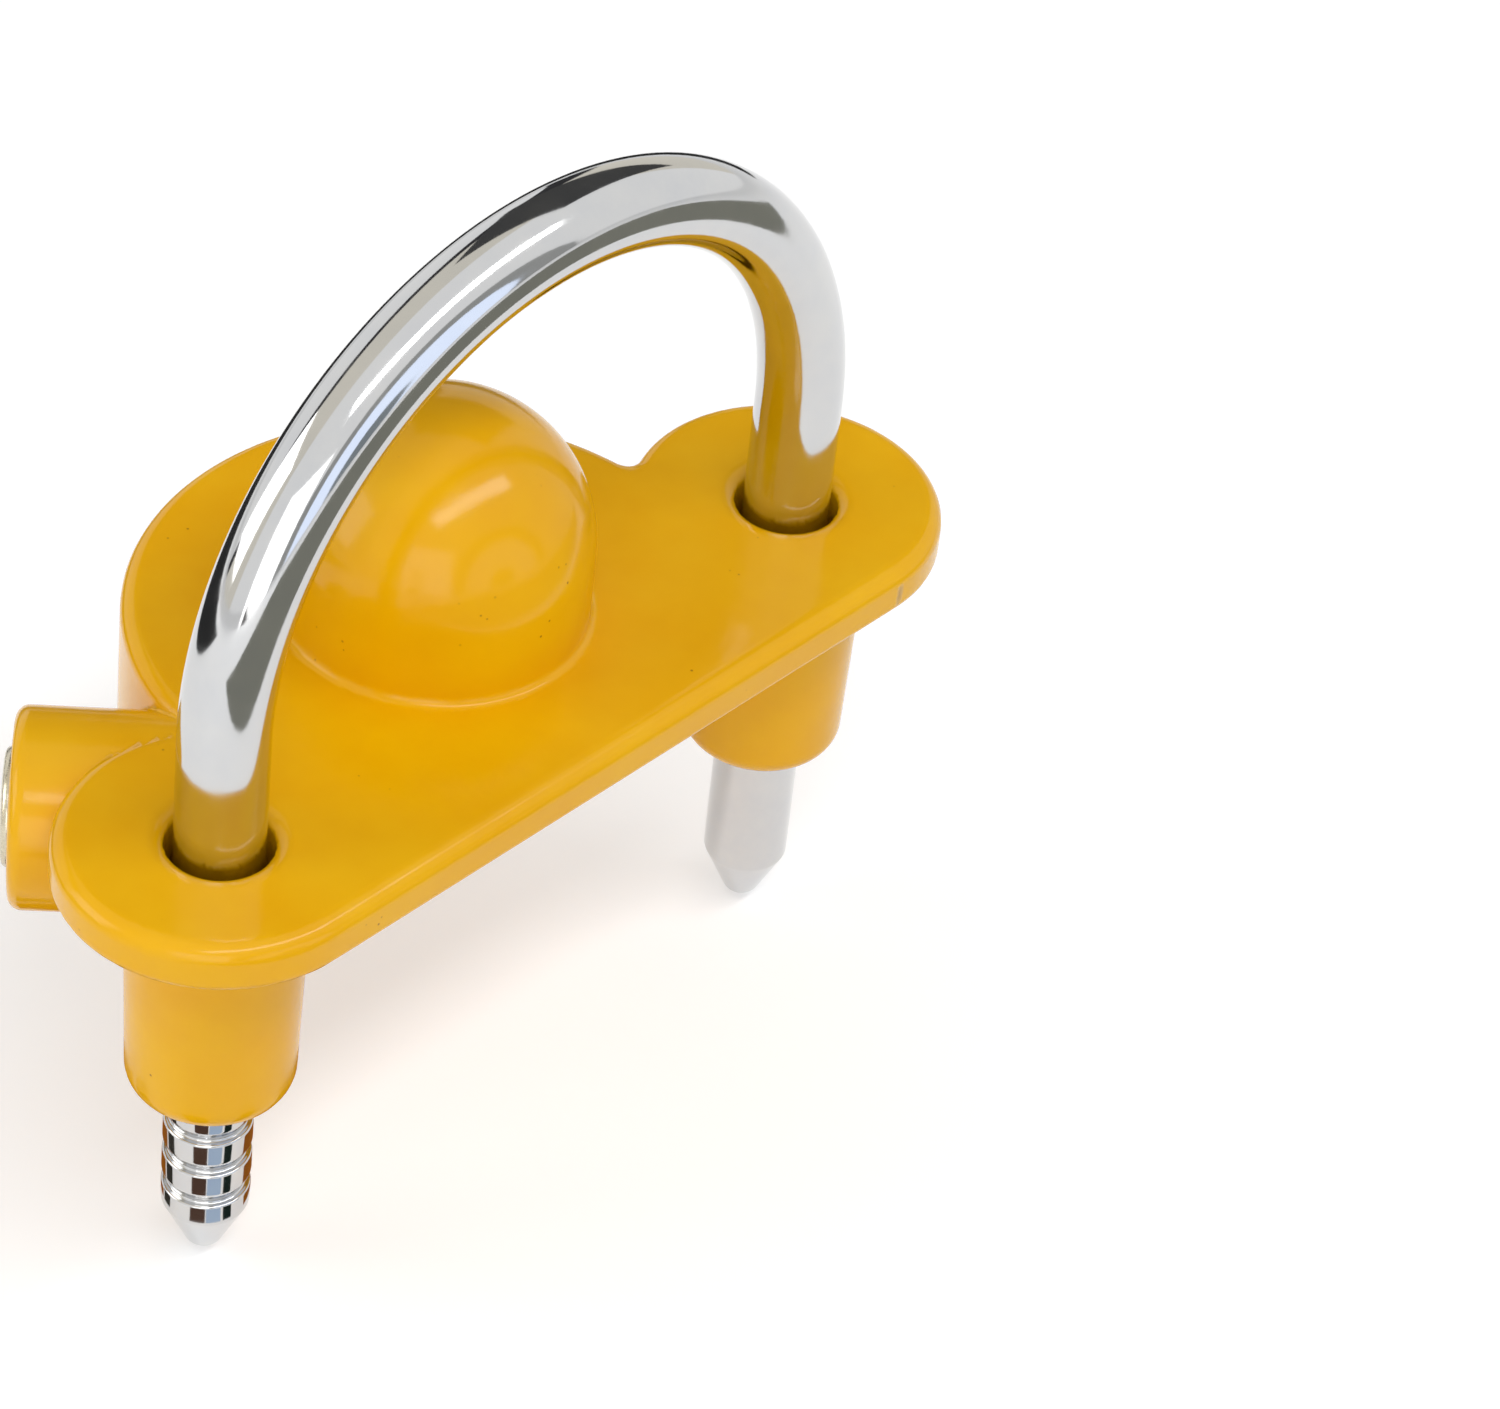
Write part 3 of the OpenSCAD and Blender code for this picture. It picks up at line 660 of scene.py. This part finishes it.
# %% metals of the pieces inside
metals = {"key_plug": PLUG_METAL, "anti_drill_pins": TOOL_STEEL, "driver_pins": STEEL,
          "pin_springs": BRONZE, "chamber_cover": BRASS, "cylinder_seal": RUBBER,
          "plug_clip": TOOL_STEEL, "cam": STEEL, "locking_bolt": TOOL_STEEL,
          "bolt_spring": TOOL_STEEL, "spring_plug": STEEL, "retaining_pin": STEEL,
          **{f"key_pin_{i}": BRASS for i in range(1, 6)}}
for node, material in metals.items():
    mesh = frame["nodes"][node].data
    mesh.materials.clear()
    mesh.materials.append(material)
print(len(metals), "packed meshes have their own metal")

# %% [markdown]
# ## Studio
# A product is shot on a paper sweep under a light tent. Here that is a pale floor that takes
# the shadow, and an even dome. Both are white to what sees them, which Light Path tells:
# camera, glossy and transmission rays. More light would whiten them too, but it would bleach
# the paint.

# %% what the studio pieces share
AIM = Vector((-0.0241, 0.0393, -0.0068))


def shown(tree):
    """1 for camera, glossy and transmission rays, else 0."""
    path = add(tree, "ShaderNodeLightPath")
    first = add(tree, "ShaderNodeMath", {"operation": "MAXIMUM"},
                _0=path.outputs["Is Camera Ray"], _1=path.outputs["Is Glossy Ray"])
    return add(tree, "ShaderNodeMath", {"operation": "MAXIMUM"}, _0=first.outputs[0],
               _1=path.outputs["Is Transmission Ray"]).outputs[0]


def staged(name, points, faces, material):
    """A mesh object of the studio, from points in metres."""
    mesh = bpy.data.meshes.new(name)
    mesh.from_pydata([tuple(q) for q in points], [], faces)
    obj = bpy.data.objects.new(name, mesh)
    bpy.context.scene.collection.objects.link(obj)
    mesh.materials.append(material)
    return obj


print("the studio is set round", [round(v / MM, 1) for v in AIM], "mm")

# %% [markdown]
# ### Paper floor
# The real sweep is matt paper, which has no highlight and a tone that is never quite even. A
# plain white plane would do, but the paper's slow mottle keeps the shadow from looking drawn.

# %% floor
FLOOR_Z, REACH, FLOOR_GLOW = (TIP_Z - 1.0) * MM, 12.0, 0.3


def floor_material():
    """Pale matt paper that glows a little towards what sees it, under its shadow."""
    mat, tree, shader = new_material("studio_paper")
    place = add(tree, "ShaderNodeTexCoord").outputs["Object"]
    noise = add(tree, NOISE, Vector=place, Scale=per(125), Detail=2.0).outputs[0]
    mottle = add(tree, SPREAD, Value=noise, From_Min=0.3, From_Max=0.7).outputs[0]
    tone = add(tree, MIX, COLOUR, _0=mottle, _6=grey(0.80), _7=grey(0.82))
    tree.links.new(tone.outputs[2], shader.inputs["Base Color"])
    glow = add(tree, "ShaderNodeMath", {"operation": "MULTIPLY"}, _0=shown(tree),
               _1=FLOOR_GLOW)
    tree.links.new(glow.outputs[0], shader.inputs["Emission Strength"])
    shader.inputs["Emission Color"].default_value = grey(1)
    shader.inputs["Roughness"].default_value = 0.9
    shader.inputs["Specular IOR Level"].default_value = 0.0
    return mat


staged("studio_floor", [(-REACH, -REACH, FLOOR_Z), (REACH, -REACH, FLOOR_Z),
                        (REACH, REACH, FLOOR_Z), (-REACH, REACH, FLOOR_Z)], [(0, 1, 2, 3)],
       floor_material())
print("floor at", round(FLOOR_Z / MM, 1), "mm")

# %% [markdown]
# ### Dome
# A tent lights from everywhere alike. Many large lamps could stand for it, but the world is
# already all round the object, and one background does it without noise. What sees it gets
# white, and as a light it is weaker, so that the paint keeps its colour.

# %% dome
DOME_LIGHT = 0.6


def dome():
    """An even world: white to what sees it, and weaker as light."""
    world = bpy.data.worlds.new("studio_dome")
    bpy.context.scene.world = world
    world.use_nodes = True
    tree = world.node_tree
    tree.nodes.clear()
    level = add(tree, SPREAD, Value=shown(tree), To_Min=DOME_LIGHT, To_Max=1.0)
    sky = add(tree, "ShaderNodeBackground", Color=grey(1.0), Strength=level.outputs[0])
    add(tree, "ShaderNodeOutputWorld", Surface=sky.outputs[0])


dome()
print("dome light", DOME_LIGHT)

# %% [markdown]
# ### Cards and flags
# Chrome only shows its surroundings, so the studio has dark flags and tinted cards. The arch
# of the shackle is a ring round an axis along Y, so a ring card round that axis reflects as a
# streak along the bar. Wedges on the floor round the grooved leg reflect as upright stripes.
# Reflections alone see the cards: they take no light away and cast no shadow.

# %% one card
def card(name, points, faces, colour, strength=1.0):
    """A card of one tone that only reflections see. A little emission sets its level."""
    mat, _, shader = new_material(name)
    shader.inputs["Base Color"].default_value = grey(0)
    shader.inputs["Specular IOR Level"].default_value = 0.0
    shader.inputs["Roughness"].default_value = 1.0
    shader.inputs["Emission Color"].default_value = linear(colour)
    shader.inputs["Emission Strength"].default_value = strength
    obj = staged(name, points, faces, mat)
    obj.visible_camera = obj.visible_diffuse = obj.visible_shadow = False
    obj.visible_transmission = obj.visible_volume_scatter = False


print("a card needs a name, points, faces and a colour")

# %% [markdown]
# Four shapes of card: a ring and a rectangle that stand far off, a rectangle on the floor, and
# a wedge on the floor close to the leg. Each is one function, because the set uses them often.

# %% shapes of card
def ring_card(name, side, from_deg, to_deg, colour, strength=1.0):
    """A flat ring two metres along Y on one side, seen between two angles from that axis."""
    away, count, lift = 2.0, 96, 0.04
    turn = np.linspace(0, 2 * math.pi, count, endpoint=False)
    radii = away * np.tan(np.radians([[max(from_deg, 0.05)], [to_deg]]))
    x, z = radii * np.cos(turn), radii * np.sin(turn) + lift
    points = np.stack([x, np.full_like(x, side * away), z], -1).reshape(-1, 3)
    card(name, points, grid_faces(2, count).tolist(), colour, strength)


def flag(name, way, distance, width, height, colour):
    """A rectangular card at a distance in a direction, facing the object."""
    way = Vector(way).normalized()
    across = way.cross(Vector((0, 0, 1))).normalized() * width / 2
    up = way.cross(across).normalized() * height / 2
    middle = AIM + way * distance
    card(name, [middle - across - up, middle + across - up, middle + across + up,
                middle - across + up], [(0, 1, 2, 3)], colour)


def floor_card(name, x0, x1, y0, y1, colour):
    """A rectangle lying just above the floor."""
    z = FLOOR_Z + 0.0004
    card(name, [(x0, y0, z), (x1, y0, z), (x1, y1, z), (x0, y1, z)], [(0, 1, 2, 3)], colour)


def wedge(name, from_deg, to_deg, colour):
    """A sector on the floor round the lock-side leg, in degrees from +X."""
    inner, outer, count = 0.015, 0.044, 24
    turn = np.radians(np.linspace(from_deg, to_deg, count))
    radii = np.array([[inner], [outer]])
    x, y = LEG_X * MM + radii * np.cos(turn), LEG_Y * MM + radii * np.sin(turn)
    points = np.stack([x, y, np.full_like(x, FLOOR_Z + 0.0008)], -1).reshape(-1, 3)
    faces = [(i, i + 1, i + 1 + count, i + count) for i in range(count - 1)]
    card(name, points, faces, colour)


print("rings, flags, floor cards and wedges are ready")

# %% [markdown]
# The set: pale and bright rings for the broad streaks, dark ones for the thin lines between
# them, a dark flag that keeps the plate's top deep in colour, and the wedges.

# %% place the cards
ring_card("dark_ring_nose", -1, 38, 45, "#3a3a3c")
ring_card("beige_ring_nose", -1, 45, 80, "#ebe6da")
ring_card("bright_ring_rear", 1, 9, 27, "#dfeaff", 1.6)
ring_card("grey_disc_rear", 1, 0, 9, "#8f979c")
ring_card("grey_ring_rear", 1, 27, 36, "#a9aaa8")
flag("flag_over_plate", (-0.591, -0.476, 0.651), 1.4, 1.1, 1.1, "#4a4a4a")
flag("flag_lock_side", (0.86, 0.46, 0.04), 1.4, 0.26, 0.6, "#38302e")
floor_card("dark_floor_nose", -0.8, 0.8, -0.75, -0.22, "#333333")
floor_card("grey_floor_rear", -0.9, 0.35, 0.16, 0.8, "#8a8a80")
wedge("wedge_left", -59, -36, "#3d3a34")
wedge("wedge_middle", 15, 47, "#5a4338")
wedge("wedge_blue", 49, 80, "#b9cde6")
wedge("wedge_right", 85, 104, "#1f2a26")
wedge("wedge_back", 141, 296, "#9a5a1e")
print("14 cards placed")

# %% [markdown]
# The dome alone would light the object evenly and show no form. So a long strip lamp over the
# rear edge draws the highlight along the ear and the arch, and two soft lamps fill the sides
# of the bosses and the housing.

# %% lamps
def lamp(name, place, sizes, watts):
    """A rectangular soft lamp, its place and sizes in metres, turned to face the object."""
    data = bpy.data.lights.new(name, "AREA")
    data.shape, data.size, data.size_y, data.energy = "RECTANGLE", sizes[0], sizes[1], watts
    obj = bpy.data.objects.new(name, data)
    obj.location = place
    obj.rotation_euler = (AIM - Vector(place)).to_track_quat("-Z", "Y").to_euler()
    bpy.context.scene.collection.objects.link(obj)


lamp("strip_overhead", (0.0, 0.62, 1.15), (1.6, 0.22), 7.0)
lamp("fill_rear_side", (1.05, 0.78, 0.32), (0.8, 0.8), 3.5)
lamp("fill_lock_side", (0.95, -0.75, 0.45), (0.7, 0.7), 3.5)
print("3 lamps placed")

# %% [markdown]
# ## Camera
# A long lens, well above the rear on the lock side, with a slight roll. Track To could aim the
# camera, but it can't roll it, so the matrix is written out from three directions. Azimuth 0
# looks along +Y, so 129 degrees looks back from beyond the rear edge.

# %% camera
def make_camera(azimuth, elevation, roll, distance, lens):
    """Places the camera round AIM. Angles are in degrees, the distance in metres."""
    a, e, r = (math.radians(v) for v in (azimuth, elevation, roll))
    back = Vector((math.sin(a) * math.cos(e), -math.cos(a) * math.cos(e), math.sin(e)))
    level = Vector((0, 0, 1)).cross(back).normalized()
    right = math.cos(r) * level + math.sin(r) * back.cross(level)
    data = bpy.data.cameras.new("camera")
    data.lens, data.sensor_width = lens, 36.0
    data.clip_start, data.clip_end = 0.01, 100.0
    cam = bpy.data.objects.new("camera", data)
    cam.matrix_world = Matrix.Translation(AIM + back * distance) @ Matrix(
        (right, back.cross(right), back)).transposed().to_4x4()
    bpy.context.scene.collection.objects.link(cam)
    bpy.context.scene.camera = cam
    print("camera at", [round(v / MM) for v in cam.matrix_world.translation], "mm")


make_camera(azimuth=128.824, elevation=40.635, roll=6.80, distance=0.8234, lens=140.54)
bpy.context.scene.view_settings.view_transform = "Standard"

# %% [markdown]
# ## The end
# The box of the finished model has to agree with the imported one. The last line brings the view layer up to date.

# %% update the view layer
bpy.context.view_layer.update()
